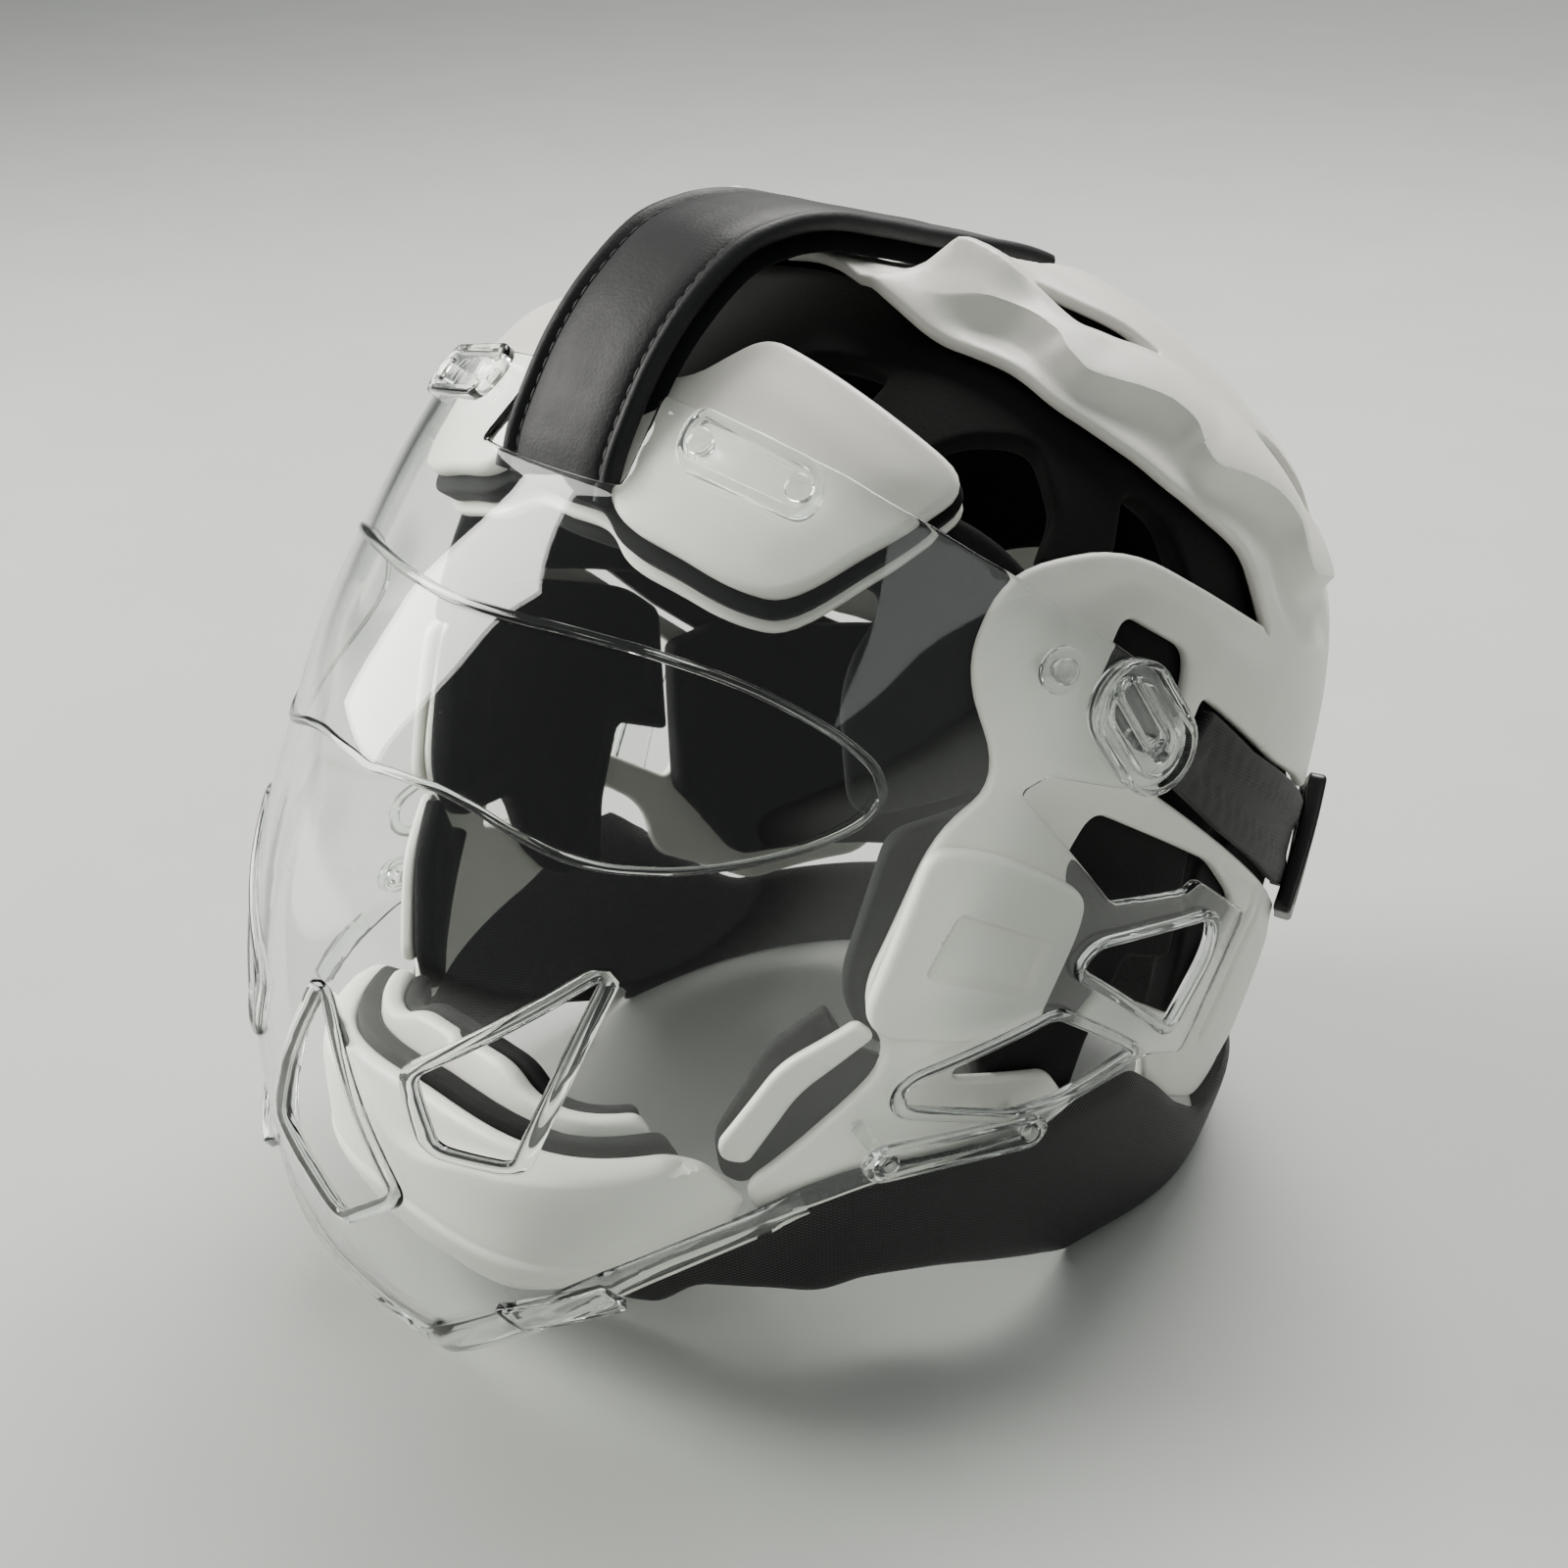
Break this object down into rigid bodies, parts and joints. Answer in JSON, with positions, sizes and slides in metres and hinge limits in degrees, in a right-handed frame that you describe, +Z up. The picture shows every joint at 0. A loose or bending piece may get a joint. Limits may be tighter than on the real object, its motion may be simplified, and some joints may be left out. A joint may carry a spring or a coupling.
{
  "type": "sparring headgear with face shield",
  "caption": "Padded sparring headgear: white moulded shell over black foam, clear clipped face shield, black crown, rear and chin straps.",
  "frame": {"origin": "on the surface it lies on, below the middle of its overall box", "axes": "+Z up, the face looks along -Y, +X to the wearer's left"},
  "size_m": [0.2268, 0.293, 0.2535],
  "materials": {
    "white_plastic": "satin moulded ABS",
    "clear_plastic": "clear moulded polycarbonate",
    "black_foam": "skinned EVA foam, matt",
    "black_leather": "padded synthetic leather, stitched and piped",
    "black_webbing": "elastic webbing",
    "black_plastic": "moulded acetal buckle"
  },
  "bodies": {
    "root": {"face_shield": "clear_plastic", "crown_shell": "white_plastic", "side_frame_left": "white_plastic", "side_frame_right": "white_plastic", "cheek_plate_left": "white_plastic", "cheek_plate_right": "white_plastic", "forehead_plate": "white_plastic", "forehead_foam": "black_foam", "forehead_rail": "white_plastic", "chin_bumper": "white_plastic", "chin_foam": "black_foam", "chin_rail": "white_plastic", "chin_lining": "black_foam", "jaw_rail_left": "white_plastic", "jaw_rail_right": "white_plastic", "jaw_foam_left": "black_foam", "jaw_foam_right": "black_foam", "crown_liner": "black_foam", "headband": "black_foam", "cheek_pad_left": "black_foam", "cheek_pad_right": "black_foam", "nape_pad": "black_foam", "top_strap": "black_leather", "rear_strap": "black_webbing", "buckle": "black_plastic", "chin_strap": "black_webbing", "forehead_clip_left": "clear_plastic", "forehead_clip_right": "clear_plastic", "temple_pin_left": "clear_plastic", "temple_pin_right": "clear_plastic", "pivot_pin_left": "clear_plastic", "pivot_pin_right": "clear_plastic", "jaw_clip_left": "clear_plastic", "jaw_clip_right": "clear_plastic"}
  },
  "joints": []
}
